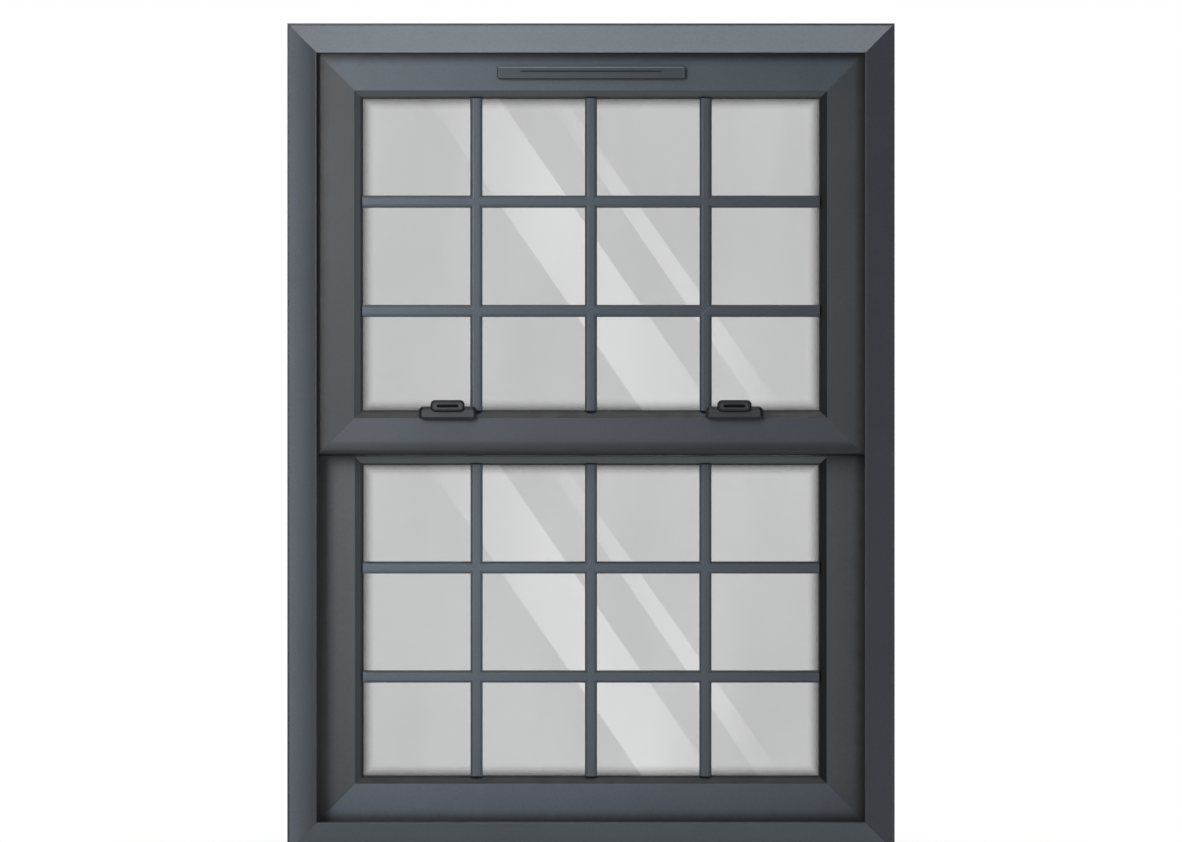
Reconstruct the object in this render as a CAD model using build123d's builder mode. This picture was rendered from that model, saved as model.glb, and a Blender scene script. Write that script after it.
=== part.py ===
from build123d import *
import os
from math import atan, cos

# Aluminium sliding sash window with two equal sashes, in millimetres.
# X runs to the right as seen from the room, Y runs from the room to the outside, Z is up.
# The origin is the middle of the bottom of the outer frame.
# The upper sash runs in the front track, the lower sash in the rear track.
# Each frame or sash member is a hollow extrusion, cut at 45 degrees at its ends.

os.makedirs("parts", exist_ok=True)

# Outer frame
frame_width = 900
frame_height = 1228
frame_depth = 135
frame_face = 44
outer_chamber = 16
frame_wall = 2
frame_web = 1.6
frame_arris = 1
edge_step = 3
bevel_rise = 21.5
front_lip = 17.5
rear_lip = 13.5
track_fin = 3
fin_setback = 2
nose_land = 2

# Sashes
sash_depth = 45
sash_play = 3
sash_lap = 10
sash_face = 56
sash_wall = 2
sash_arris = 0.8
sash_web_place = 22
meeting_overlap = 54
meeting_arris = 9
rebate_wall = 5
rear_leg = 4

# Glazing beads, gaskets and the sealed glass unit
bead_width = 10
bead_set_back = 1.2
bead_end = 9
bead_thickness = 10.3
bead_wall = 1.4
bead_foot_width = 3.6
bead_foot_length = 2.3
foot_place = 5
foot_clearance = 0.2
glass_place = 12.5
glass_thickness = 4
glass_cavity = 16
glass_margin = 5
gasket_overlap = 4.5
gasket_lip = 1
gasket_round = 0.8
spacer_inset = 1
spacer_width = 6
block_length = 100
block_corner_gap = 15

# Glazing bars on both faces of the glass
bar_width = 18
bar_height = 7
bar_edge = 1.6
bar_crown = 7
bar_column_count = 4
top_pane = 145
middle_pane = 144
bar_joint = 0.1

# Guides and spring balances at the edges of the sashes
slide_clearance = 0.3
guide_height = 30
top_guide_height = 40
guide_tube_gap = 2
tube_diameter = 14
tube_wall = 1.5
rod_diameter = 8
rod_bore_clearance = 0.2
rod_seat = 15
sash_travel = 480
tube_overrun = 38
tube_head_gap = 16
tube_start_gap = 5
cap_width = 16
cap_height = 24
cap_wall = 1
cap_clearance = 0.05

# Stops, track covers, corner cleats and pile seals
stop_length = 40
stop_place = 350
cover_wall = 1.6
cover_clearance = 0.3
cleat_leg = 70
cleat_clearance = 0.3
pile_width = 5
pile_place = 4

# Interlocks between the meeting rails
interlock_wall = 1.5
interlock_lip = 1
interlock_flange = 11
interlock_height = 13
interlock_end_gap = 2
interlock_reach = 4.5
interlock_hook = 12
hook_overlap = 6
hook_gap = 0.5

# Sash locks
lock_end_distance = 203.6
lock_width = 85.4
lock_height = 20.1
lock_corner = 7.5
lock_depth = 14
lock_rim = 4
lock_wall = 1.6
lock_seat = 2.8
lock_bar_gap = 0.5
lock_travel = 6
boss_place = 31
boss_diameter = 7
boss_hole = 3
boss_depth = 12
grip_width = 50.6
grip_height = 17.5
grip_corner = 7
grip_thickness = 5.2
grip_rim = 2.6
grip_rise = 12
grip_gap = 0.3
groove_width = 32.5
groove_height = 4.7
groove_depth = 2.4
bridge_width = 20
bridge_height = 2.9
arm_width = 8
arm_depth = 12.5
arm_wall = 2.3
arm_gap = 0.4
pin_diameter = 3
pin_clearance = 0.2
pin_height = 12
pin_place = 3
cheek_wall = 2.5
cheek_gap = 0.3
cheek_radius = 2.8
cheek_heel = 0.7
cheek_nick = 1.2
bolt_width = 8
bolt_height = 3
bolt_gap = 0.3
bolt_end_gap = 0.3
bolt_cross = 2.5
bolt_lead = 1
keeper_width = 40
keeper_wall = 1.5
keeper_length = 30
keeper_drop = 6
keeper_gap = 1.5

# Ventilator on the top rail of the upper sash
vent_width = 278.2
vent_height = 19.2
vent_centre = 29.4
vent_corner = 4
vent_base_thickness = 5
vent_flap_thickness = 3.7
vent_rim = 1.2
vent_gap = 0.3
vent_groove_width = 209
vent_groove_height = 2.2
vent_groove_depth = 1.2
vent_groove_rise = 2
hinge_rise = 3.4
hinge_depth = 2
hinge_diameter = 2.4
hinge_clearance = 0.2
hinge_web = 1.6
hinge_web_gap = 0.3
hinge_end = 6
air_slot_width = 42
air_slot_height = 8
air_slot_pitch = 52
air_slot_count = 5
grille_thickness = 1.2
grille_height = 24


# Places that follow from the sizes above
front_face = -frame_depth / 2
rear_face = frame_depth / 2
track_width = (frame_depth - front_lip - rear_lip - track_fin) / 2
front_track = front_face + front_lip
fin_front = front_track + track_width
fin_rear = fin_front + track_fin
rear_track_end = rear_face - rear_lip
fin_tip = frame_face - fin_setback
opening_half = frame_width / 2 - frame_face
opening_low = frame_face
opening_high = frame_height - frame_face
track_bottom = frame_width / 2 - outer_chamber

upper_front = front_track + sash_play
upper_rear = upper_front + sash_depth
lower_rear = rear_track_end - sash_play
lower_front = lower_rear - sash_depth
sash_height = (opening_high - opening_low + meeting_overlap) / 2
upper_low = opening_high - sash_height
lower_high = opening_low + sash_height
sash_edge = opening_half + sash_lap
lock_place = sash_edge - lock_end_distance
sight = sash_face + bead_width
glass_edge = sash_face + glass_margin
glass_back = glass_place + 2 * glass_thickness + glass_cavity
leg_front = sash_depth - rear_leg
sill_floor = outer_chamber
head_floor = frame_height - outer_chamber
balance_place = (sash_edge + track_bottom) / 2
tube_top = head_floor - tube_head_gap


def save(name, piece):
    """Labels a finished piece and writes it under the same name."""
    piece.part.label = name
    export_step(piece.part, f"parts/{name}.step")


def ring_planes(half, low, high, depth):
    """Section planes for four members round a rectangle, local x inward and local y to the back."""
    return {
        "left": Plane(origin=(-half, depth, low), x_dir=(1, 0, 0), z_dir=(0, 0, 1)),
        "right": Plane(origin=(half, depth, high), x_dir=(-1, 0, 0), z_dir=(0, 0, -1)),
        "bottom": Plane(origin=(half, depth, low), x_dir=(0, 0, 1), z_dir=(-1, 0, 0)),
        "top": Plane(origin=(-half, depth, high), x_dir=(0, 0, -1), z_dir=(1, 0, 0)),
    }


def mitred(section, plane, length, start_lap=0, end_lap=0):
    """Extrudes a section from corner to corner of a ring and cuts both ends at 45 degrees.

    A lap lets the part of the section outside the corner run on past it.
    """
    far = plane.offset(length)
    with BuildPart() as member:
        with BuildSketch(plane.offset(-start_lap)):
            add(section)
        extrude(amount=length + start_lap + end_lap)
        split(bisect_by=Plane(origin=plane.origin, z_dir=plane.z_dir - plane.x_dir), keep=Keep.TOP)
        split(bisect_by=Plane(origin=far.origin, z_dir=(far.z_dir + far.x_dir) * -1), keep=Keep.TOP)
    return member


def bar_of(points, start, end):
    """Extrudes a depth and height outline along X, from start to end."""
    with BuildPart() as bar:
        with BuildSketch(Plane.YZ.offset(start)):
            Polygon(points)
        extrude(amount=end - start)
    return bar


def block(x, y, z):
    """A plain block between two places on each axis."""
    size = (x[1] - x[0], y[1] - y[0], z[1] - z[0])
    with BuildPart() as piece:
        with Locations((x[0] + size[0] / 2, y[0] + size[1] / 2, z[0] + size[2] / 2)):
            Box(*size)
    return piece


# Section of the outer frame: x is the distance from the outer edge, y the depth
bevel_slope = bevel_rise / (frame_face - nose_land - edge_step)
bevel_skin = frame_wall / cos(atan(bevel_slope))
bevel_start = front_face + bevel_rise
step_depth = bevel_start + edge_step
fin_middle = (fin_front + fin_rear) / 2
nose_floor = front_track - frame_wall
nose_tip = frame_face - frame_wall


def bevel_inside(inward):
    """Depth of the inner skin of the bevelled face at a distance from the outer edge."""
    return bevel_start - bevel_slope * (inward - edge_step) + bevel_skin


nose_start = edge_step + (bevel_start + bevel_skin - nose_floor) / bevel_slope
inner_step = edge_step + frame_wall
inner_edge = outer_chamber - frame_wall

with BuildSketch() as frame_section:
    with BuildLine():
        Polyline(
            (0, step_depth),
            (edge_step, step_depth),
            (edge_step, bevel_start),
            (frame_face - nose_land, front_face),
            (frame_face, front_face),
            (frame_face, front_track),
            (outer_chamber, front_track),
            (outer_chamber, fin_front),
            (fin_tip, fin_front),
            (fin_tip, fin_rear),
            (outer_chamber, fin_rear),
            (outer_chamber, rear_track_end),
            (frame_face, rear_track_end),
            (frame_face, rear_face),
            (0, rear_face),
            close=True,
        )
    make_face()
    fillet(frame_section.vertices().group_by(Axis.X)[-1], frame_arris)
    Polygon(
        (nose_start, nose_floor),
        (nose_tip, nose_floor),
        (nose_tip, bevel_inside(nose_tip)),
        mode=Mode.SUBTRACT,
    )
    Polygon(
        (frame_wall, step_depth + frame_wall),
        (inner_step, step_depth + frame_wall),
        (inner_step, bevel_inside(inner_step)),
        (inner_edge, bevel_inside(inner_edge)),
        (inner_edge, fin_middle - frame_web / 2),
        (frame_wall, fin_middle - frame_web / 2),
        mode=Mode.SUBTRACT,
    )
    Polygon(
        (frame_wall, fin_middle + frame_web / 2),
        (inner_edge, fin_middle + frame_web / 2),
        (inner_edge, rear_track_end),
        (frame_wall, rear_track_end),
        mode=Mode.SUBTRACT,
    )
    Polygon(
        (frame_wall, rear_track_end + frame_wall),
        (nose_tip, rear_track_end + frame_wall),
        (nose_tip, rear_face - frame_wall),
        (frame_wall, rear_face - frame_wall),
        mode=Mode.SUBTRACT,
    )

frame_planes = ring_planes(frame_width / 2, 0, frame_height, 0)
frame_members = {
    "frame_head": ("top", frame_width),
    "frame_sill": ("bottom", frame_width),
    "frame_jamb_left": ("left", frame_height),
    "frame_jamb_right": ("right", frame_height),
}
for name, (side, length) in frame_members.items():
    save(name, mitred(frame_section.sketch, frame_planes[side], length))


# Section of a sash member: x runs from the visible edge to the glass, y from front to back
def sash_section(lap, front_arris):
    """Hollow sash extrusion with a glazing rebate, a bead groove and a fixed leg at the back."""
    foot_half = bead_foot_width / 2
    groove_bottom = sash_face - bead_foot_length - foot_clearance
    shoulder = foot_place + foot_half + foot_clearance + sash_wall
    web_end = sash_web_place + sash_wall
    chamber_end = sash_face - rebate_wall
    with BuildSketch() as section:
        with BuildLine():
            Polyline(
                (-lap, 0),
                (sash_face, 0),
                (sash_face, foot_place - foot_half - foot_clearance),
                (groove_bottom, foot_place - foot_half - foot_clearance),
                (groove_bottom, foot_place + foot_half + foot_clearance),
                (sash_face, foot_place + foot_half + foot_clearance),
                (sash_face, leg_front),
                (sight, leg_front),
                (sight, sash_depth),
                (-lap, sash_depth),
                close=True,
            )
        make_face()
        front_corners = section.vertices().group_by(Axis.Y)[0].sort_by(Axis.X)
        fillet(front_corners[0], front_arris)
        fillet(section.vertices().group_by(Axis.Y)[0].sort_by(Axis.X)[-1], sash_arris)
        with BuildSketch(mode=Mode.SUBTRACT) as chamber:
            Polygon(
                (sash_wall - lap, sash_wall),
                (sash_web_place, sash_wall),
                (sash_web_place, sash_depth - sash_wall),
                (sash_wall - lap, sash_depth - sash_wall),
            )
            if front_arris > sash_wall:
                corner = chamber.vertices().group_by(Axis.Y)[0].sort_by(Axis.X)[0]
                fillet(corner, front_arris - sash_wall)
        Polygon(
            (web_end, sash_wall),
            (chamber_end, sash_wall),
            (chamber_end, shoulder),
            (sash_face - sash_wall, shoulder),
            (sash_face - sash_wall, sash_depth - sash_wall),
            (web_end, sash_depth - sash_wall),
            mode=Mode.SUBTRACT,
        )
    return section.sketch


def bead_section():
    """Hollow clip-in glazing bead with a sloping front and a foot for the groove of the sash."""
    foot_half = bead_foot_width / 2
    run = bead_end - bead_set_back
    inner_slope = run / bead_width
    inner_floor = bead_thickness - bead_wall
    inner_start = sash_face + bead_wall
    slope_skin = bead_wall / cos(atan(inner_slope))
    inner_front = bead_set_back + inner_slope * bead_wall + slope_skin
    inner_reach = inner_start + (inner_floor - inner_front) / inner_slope
    with BuildSketch() as section:
        with BuildLine():
            Polyline(
                (sash_face, bead_set_back),
                (sight, bead_end),
                (sight, bead_thickness),
                (sash_face, bead_thickness),
                (sash_face, foot_place + foot_half),
                (sash_face - bead_foot_length, foot_place + foot_half),
                (sash_face - bead_foot_length, foot_place - foot_half),
                (sash_face, foot_place - foot_half),
                close=True,
            )
        make_face()
        Polygon(
            (inner_start, inner_front),
            (inner_reach, inner_floor),
            (inner_start, inner_floor),
            mode=Mode.SUBTRACT,
        )
    return section.sketch


def gasket_section(front, back):
    """Rubber strip between the glass and the bead or leg, with a rounded lip past the sight line."""
    start = sight - gasket_overlap
    with BuildSketch() as section:
        Polygon(
            (start, front),
            (sight + gasket_lip, front),
            (sight + gasket_lip, back),
            (start, back),
            )
        fillet(section.vertices().group_by(Axis.X)[-1], gasket_round)
    return section.sketch


def bar_section():
    """Moulded glazing bar: flat crown, rounded shoulders and thin upright edges."""
    half = bar_width / 2
    crown = bar_crown / 2
    rise = bar_height - bar_edge
    with BuildSketch() as section:
        with BuildLine():
            Line((-half, 0), (-half, bar_edge))
            EllipticalCenterArc((-crown, bar_edge), half - crown, rise, start_angle=90, arc_size=90)
            Line((-crown, bar_height), (crown, bar_height))
            EllipticalCenterArc((crown, bar_edge), half - crown, rise, start_angle=0, arc_size=90)
            Line((half, bar_edge), (half, 0))
            Line((half, 0), (-half, 0))
        make_face()
    return section.sketch


class Sash:
    """Place of one sash: its front face, its visible lower and upper edge and its two laps."""

    def __init__(self, name, front, low, high, low_lap, high_lap):
        self.name = name
        self.front = front
        self.low = low
        self.high = high
        self.low_lap = low_lap
        self.high_lap = high_lap
        self.bottom = low - low_lap
        self.top = high + high_lap
        self.middle = front + sash_depth / 2
        self.planes = ring_planes(opening_half, low, high, front)
        self.track = front_track if name == "upper" else fin_rear


upper = Sash("upper", upper_front, upper_low, opening_high, 0, sash_lap)
lower = Sash("lower", lower_front, opening_low, lower_high, sash_lap, 0)
sashes = (upper, lower)


def sash_ring(sash, section):
    """Four mitred strips of one section round a sash, by side."""
    lengths = {
        "left": sash.high - sash.low,
        "right": sash.high - sash.low,
        "bottom": 2 * opening_half,
        "top": 2 * opening_half,
    }
    return {side: mitred(section, sash.planes[side], lengths[side]) for side in lengths}


def stile(sash, side):
    """Upright sash member, square past the mitre where it meets the meeting rail."""
    laps = (sash.low_lap, sash.high_lap) if side == "left" else (sash.high_lap, sash.low_lap)
    section = sash_section(sash_lap, sash_arris)
    return mitred(section, sash.planes[side], sash.high - sash.low, *laps)


def rail(sash, side):
    """Level sash member; a meeting rail has no lap, and that of the upper sash a rounder front edge."""
    lap = sash.low_lap if side == "bottom" else sash.high_lap
    front_arris = meeting_arris if (sash.name, side) == ("upper", "bottom") else sash_arris
    section = sash_section(lap, front_arris)
    return mitred(section, sash.planes[side], 2 * opening_half, lap, lap)


def pane(sash, front):
    """One sheet of glass."""
    half = opening_half - glass_edge
    depth = sash.front + front
    return block(
        (-half, half), (depth, depth + glass_thickness), (sash.low + glass_edge, sash.high - glass_edge)
    )


def spacer(sash):
    """Spacer frame between the panes, set in a little from the edge of the glass."""
    outer = glass_edge + spacer_inset
    inner = outer + spacer_width
    height = sash.high - sash.low
    centre = (0, (sash.low + sash.high) / 2)
    with BuildPart() as ring:
        with BuildSketch(Plane.XZ.offset(-(sash.front + glass_place + glass_thickness))):
            with Locations(centre):
                RectangleRounded(2 * (opening_half - outer), height - 2 * outer, spacer_width / 2)
                Rectangle(2 * (opening_half - inner), height - 2 * inner, mode=Mode.SUBTRACT)
        extrude(amount=-glass_cavity)
    return ring


def gaskets(sash):
    """Front and rear glazing gaskets, four strips each."""
    with BuildPart() as strips:
        for front, back in ((bead_thickness, glass_place), (glass_back, leg_front)):
            for strip in sash_ring(sash, gasket_section(front, back)).values():
                add(strip.part)
    return strips


def setting_blocks(sash):
    """Two blocks that carry the glass on the bottom member."""
    floor = sash.low + sash_face
    depth = sash.front + glass_place
    with BuildPart() as pair:
        for side in (-1, 1):
            outside = side * (opening_half - glass_edge - block_corner_gap)
            x = sorted((outside, outside - side * block_length))
            add(block(x, (depth, sash.front + glass_back), (floor, floor + glass_margin)).part)
    return pair


def bar_piece(plane, length, start_crosses, end_crosses):
    """One length of glazing bar; an end at a crossing is pointed, because four bars meet there."""
    with BuildPart() as piece:
        with BuildSketch(plane):
            add(bar_section())
        extrude(amount=length)
        ends = ((start_crosses, plane, 1), (end_crosses, plane.offset(length), -1))
        for crosses, end, way in ends:
            if crosses:
                origin = end.origin + end.z_dir * way * bar_joint
                for side in (-1, 1):
                    split(bisect_by=Plane(origin=origin, z_dir=end.z_dir * way + end.x_dir * side))
    return piece


def glazing_bars(sash, depth, direction):
    """Grid of moulded bars on one face of the glass, mitred where they cross."""
    half = opening_half - sight - gasket_lip
    low = sash.low + sight + gasket_lip
    high = sash.high - sight - gasket_lip
    pitch = 2 * (opening_half - sight) / bar_column_count
    columns = [pitch * (index + 1) - (opening_half - sight) for index in range(bar_column_count - 1)]
    top_row = sash.high - sight - top_pane - bar_width / 2
    rows = [top_row - middle_pane - bar_width, top_row]
    across = [-half, *columns, half]
    upwards = [low, *rows, high]
    with BuildPart() as grid:
        for x in columns:
            for start, end in zip(upwards, upwards[1:]):
                plane = Plane(origin=(x, depth, start), x_dir=(direction, 0, 0), z_dir=(0, 0, 1))
                add(bar_piece(plane, end - start, start != low, end != high).part)
        for z in rows:
            for start, end in zip(across, across[1:]):
                plane = Plane(origin=(start, depth, z), x_dir=(0, 0, -direction), z_dir=(1, 0, 0))
                add(bar_piece(plane, end - start, start != -half, end != half).part)
    return grid


def guides(sash):
    """Nylon guides in the tracks: whole shoes below, and blocks either side of the balance tube above."""
    inside = sash_edge
    outside = track_bottom - slide_clearance
    front = sash.track + slide_clearance
    back = sash.track + track_width - slide_clearance
    tube_half = tube_diameter / 2 + guide_tube_gap
    bore = rod_diameter / 2 + rod_bore_clearance
    with BuildPart() as shoes:
        for side in (-1, 1):
            x = sorted((side * inside, side * outside))
            add(block(x, (front, back), (sash.bottom, sash.bottom + guide_height)).part)
            with Locations((side * balance_place, sash.middle, sash.bottom + guide_height)):
                Hole(bore, depth=rod_seat)
            for y in ((front, sash.middle - tube_half), (sash.middle + tube_half, back)):
                add(block(x, y, (sash.top - top_guide_height, sash.top)).part)
    return shoes


def balance_tube(sash, side, low, high):
    """Outer tube of a spring balance, fixed to the jamb at its top."""
    with BuildPart() as tube:
        with BuildSketch(Plane.XY.offset(low)):
            with Locations((side * balance_place, sash.middle)):
                Circle(tube_diameter / 2)
                Circle(tube_diameter / 2 - tube_wall, mode=Mode.SUBTRACT)
        extrude(amount=high - low)
    return tube


def balance_rods(sash, low, high):
    """Rods that hang in the tubes and stand in the shoes of the sash."""
    with BuildPart() as rods:
        with BuildSketch(Plane.XY.offset(low)):
            with Locations((-balance_place, sash.middle), (balance_place, sash.middle)):
                Circle(rod_diameter / 2)
        extrude(amount=high - low)
    return rods


# Rails, stiles, beads, glass, gaskets and bars of both sashes
rails = {}
beads = {}
for sash in sashes:
    for side in ("left", "right"):
        save(f"{sash.name}_{side}_stile", stile(sash, side))
    for side in ("top", "bottom"):
        rails[sash.name, side] = rail(sash, side)
    beads[sash.name] = sash_ring(sash, bead_section())
    for side in ("left", "right", "top"):
        save(f"{sash.name}_bead_{side}", beads[sash.name][side])
    save(f"{sash.name}_inner_pane", pane(sash, glass_place))
    save(f"{sash.name}_outer_pane", pane(sash, glass_back - glass_thickness))
    save(f"{sash.name}_spacer", spacer(sash))
    save(f"{sash.name}_gaskets", gaskets(sash))
    save(f"{sash.name}_setting_blocks", setting_blocks(sash))
    save(f"{sash.name}_front_bars", glazing_bars(sash, sash.front + glass_place, -1))
    save(f"{sash.name}_rear_bars", glazing_bars(sash, sash.front + glass_back, 1))
save("lower_top_rail", rails["lower", "top"])
save("lower_bottom_rail", rails["lower", "bottom"])
save("lower_bead_bottom", beads["lower"]["bottom"])

# Guides and balances: each rod still ends inside its tube when its sash is fully moved
upper_tube_low = upper.bottom + guide_height + tube_start_gap
lower_tube_low = lower.bottom + guide_height + sash_travel + tube_start_gap
tube_lows = {"upper": upper_tube_low, "lower": lower_tube_low}
rod_tops = {"upper": upper_tube_low + sash_travel + tube_overrun, "lower": lower_tube_low + tube_overrun}
for sash in sashes:
    save(f"{sash.name}_guides", guides(sash))
    rod_low = sash.bottom + guide_height - rod_seat
    save(f"{sash.name}_balance_rods", balance_rods(sash, rod_low, rod_tops[sash.name]))
    for side, word in ((-1, "left"), (1, "right")):
        tube = balance_tube(sash, side, tube_lows[sash.name], tube_top)
        save(f"{sash.name}_balance_tube_{word}", tube)

# Caps that seat on the jambs and hold the tops of the balance tubes
with BuildPart() as balance_caps:
    for sash in sashes:
        for side in (-1, 1):
            inside = side * (balance_place - tube_diameter / 2 - cap_wall)
            x = sorted((inside, side * track_bottom))
            y = (sash.middle - cap_width / 2, sash.middle + cap_width / 2)
            add(block(x, y, (tube_top + cap_wall - cap_height, tube_top + cap_wall)).part)
            with Locations((side * balance_place, sash.middle, tube_top)):
                Cylinder(
                    tube_diameter / 2 + cap_clearance,
                    cap_height,
                    align=(Align.CENTER, Align.CENTER, Align.MAX),
                    mode=Mode.SUBTRACT,
                )
save("balance_caps", balance_caps)

# Blocks in the tracks that the closed sashes stop against
stops = (
    (upper, upper.top + slide_clearance, head_floor),
    (lower, sill_floor, lower.bottom - slide_clearance),
)
with BuildPart() as stop_blocks:
    for sash, low, high in stops:
        for side in (-1, 1):
            x = (side * stop_place - stop_length / 2, side * stop_place + stop_length / 2)
            add(block(x, (sash.front, sash.front + sash_depth), (low, high)).part)
save("stop_blocks", stop_blocks)


def track_cover(track, floor, face):
    """Channel-shaped strip that closes an unused track and stands on its floor."""
    front = track + cover_clearance
    back = track + track_width - cover_clearance
    inner = face - cover_wall if face > floor else face + cover_wall
    outline = [
        (front, floor),
        (front, face),
        (back, face),
        (back, floor),
        (back - cover_wall, floor),
        (back - cover_wall, inner),
        (front + cover_wall, inner),
        (front + cover_wall, floor),
    ]
    return bar_of(outline, cover_clearance - opening_half, opening_half - cover_clearance)


save("sill_cover", track_cover(front_track, sill_floor, opening_low))
save("head_cover", track_cover(fin_rear, head_floor, opening_high))

# Angle cleats inside the chambers, two at each corner of the frame
cleat_start = frame_wall + cleat_clearance
cleat_end = inner_edge - cleat_clearance
cleat_cells = (
    (step_depth + frame_wall, fin_middle - frame_web / 2),
    (fin_middle + frame_web / 2, rear_track_end),
)
cleat_outline = [
    (cleat_start, cleat_start),
    (cleat_leg, cleat_start),
    (cleat_leg, cleat_end),
    (cleat_end, cleat_end),
    (cleat_end, cleat_leg),
    (cleat_start, cleat_leg),
]
with BuildPart() as corner_cleats:
    for cell_front, cell_back in cleat_cells:
        with BuildSketch(Plane.XZ.offset(-(cell_back - cleat_clearance))):
            for side in (-1, 1):
                for end, way in ((0, 1), (frame_height, -1)):
                    Polygon([(side * (frame_width / 2 - x), end + way * z) for x, z in cleat_outline])
        extrude(amount=cell_back - cell_front - 2 * cleat_clearance)
save("corner_cleats", corner_cleats)

# Pile seals on the lips that the laps of the sashes run behind
pile_start = opening_half + pile_place - pile_width / 2
pile_end = pile_start + pile_width
pile_depth = sash_play - slide_clearance
with BuildPart() as frame_piles:
    for sash, y, level in (
        (upper, (front_track, front_track + pile_depth), (opening_high + pile_start - opening_half)),
        (lower, (rear_track_end - pile_depth, rear_track_end), (opening_low + opening_half - pile_end)),
    ):
        for side in (-1, 1):
            x = sorted((side * pile_start, side * pile_end))
            add(block(x, y, (opening_low, opening_high)).part)
        add(block((-opening_half, opening_half), y, (level, level + pile_width)).part)
save("frame_piles", frame_piles)

# Interlocks: two hooked strips that meet in the gap between the meeting rails
interlock_half = opening_half - interlock_end_gap
upper_arm = upper_low + interlock_height
upper_hook = upper_rear + interlock_reach
upper_hook_top = upper_arm + interlock_hook
lower_hook_back = upper_hook - interlock_wall - hook_gap
lower_hook = lower_hook_back - interlock_lip
lower_hook_bottom = upper_hook_top - hook_overlap
lower_arm = lower_hook_bottom + interlock_hook
upper_interlock_outline = [
    (upper_rear, upper_arm + interlock_wall - interlock_flange),
    (upper_rear + interlock_wall, upper_arm + interlock_wall - interlock_flange),
    (upper_rear + interlock_wall, upper_arm),
    (upper_hook, upper_arm),
    (upper_hook, upper_hook_top),
    (upper_hook - interlock_wall, upper_hook_top),
    (upper_hook - interlock_wall, upper_arm + interlock_wall),
    (upper_rear, upper_arm + interlock_wall),
]
lower_interlock_outline = [
    (lower_front, lower_arm - interlock_wall + interlock_flange),
    (lower_front - interlock_wall, lower_arm - interlock_wall + interlock_flange),
    (lower_front - interlock_wall, lower_arm),
    (lower_hook, lower_arm),
    (lower_hook, lower_hook_bottom),
    (lower_hook_back, lower_hook_bottom),
    (lower_hook_back, lower_arm - interlock_wall),
    (lower_front, lower_arm - interlock_wall),
]
save("upper_interlock", bar_of(upper_interlock_outline, -interlock_half, interlock_half))
save("lower_interlock", bar_of(lower_interlock_outline, -interlock_half, interlock_half))

# Sash locks: pushing the grip down drives a bolt back over the keeper of the lower sash
rebate_floor = upper_low + sash_face
bead_front = upper_front + bead_set_back
bead_back = upper_front + bead_end
lock_low = rebate_floor - lock_seat
lock_high = lock_low + lock_height
lock_front = upper_front - lock_depth
lock_back = upper_front + glass_place - bar_height - lock_bar_gap
lock_shoulder = lock_front + lock_rim
arm_front = lock_front + lock_wall + arm_gap
arm_back = arm_front + arm_depth
pin_y = arm_front + pin_place
pin_z = lock_low + pin_height
slot_radius = pin_diameter / 2 + pin_clearance
bolt_low = rebate_floor + bolt_gap
bolt_high = bolt_low + bolt_height
bolt_tip = upper_rear - bolt_end_gap
notch_half = bolt_width / 2 + bolt_gap
notch_high = bolt_high + bolt_gap


def lock_base(place):
    """Housing of a lock: a hollow rounded shell that seats on the rail and on the slope of the bead."""
    centre = (place, lock_low + lock_height / 2)
    inner_size = (lock_width - 2 * lock_wall, lock_height - 2 * lock_wall, lock_corner - lock_wall)
    half = lock_width / 2
    seat = [
        (upper_front, lock_low),
        (upper_front, rebate_floor),
        (bead_front, rebate_floor),
        (bead_back, rebate_floor + bead_width),
        (bead_back + lock_wall, rebate_floor + bead_width),
        (bead_back + lock_wall, lock_low),
    ]
    with BuildPart() as base:
        with BuildSketch(Plane.XZ.offset(-lock_back)):
            with Locations(centre):
                RectangleRounded(lock_width, lock_height, lock_corner)
        extrude(amount=lock_back - lock_shoulder)
        with BuildSketch(Plane.XZ.offset(-lock_shoulder)):
            with Locations(centre):
                RectangleRounded(lock_width, lock_height, lock_corner)
        extrude(amount=lock_rim, taper=45)
        with BuildSketch(Plane.XZ.offset(lock_wall - lock_back)):
            with Locations(centre):
                RectangleRounded(*inner_size)
        extrude(amount=lock_back - lock_wall - lock_shoulder, mode=Mode.SUBTRACT)
        with BuildSketch(Plane.XZ.offset(-lock_shoulder)):
            with Locations(centre):
                RectangleRounded(*inner_size)
        extrude(amount=lock_rim - lock_wall, taper=45, mode=Mode.SUBTRACT)
        with BuildSketch(Plane.XZ.offset(-lock_back)):
            with Locations((place - boss_place, centre[1]), (place + boss_place, centre[1])):
                Circle(boss_diameter / 2)
        extrude(amount=lock_back - lock_front - lock_wall)
        with BuildSketch(Plane.XZ.offset(-lock_back)):
            with Locations((place - boss_place, centre[1]), (place + boss_place, centre[1])):
                Circle(boss_hole / 2)
        extrude(amount=boss_depth, mode=Mode.SUBTRACT)
        add(bar_of(seat, place - half, place + half).part, mode=Mode.SUBTRACT)
        arm_half = arm_width / 2 + arm_gap
        arm_slot_y = (arm_front - arm_gap, arm_back + arm_gap)
        arm_slot_z = (lock_high - lock_wall - lock_rim, lock_high + lock_wall)
        add(block((place - arm_half, place + arm_half), arm_slot_y, arm_slot_z).part, mode=Mode.SUBTRACT)
        bolt_way_y = (lock_back - 2 * lock_wall, lock_back + lock_wall)
        bolt_way_z = (rebate_floor, notch_high)
        bolt_way_x = (place - notch_half, place + notch_half)
        add(block(bolt_way_x, bolt_way_y, bolt_way_z).part, mode=Mode.SUBTRACT)
    return base


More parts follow.
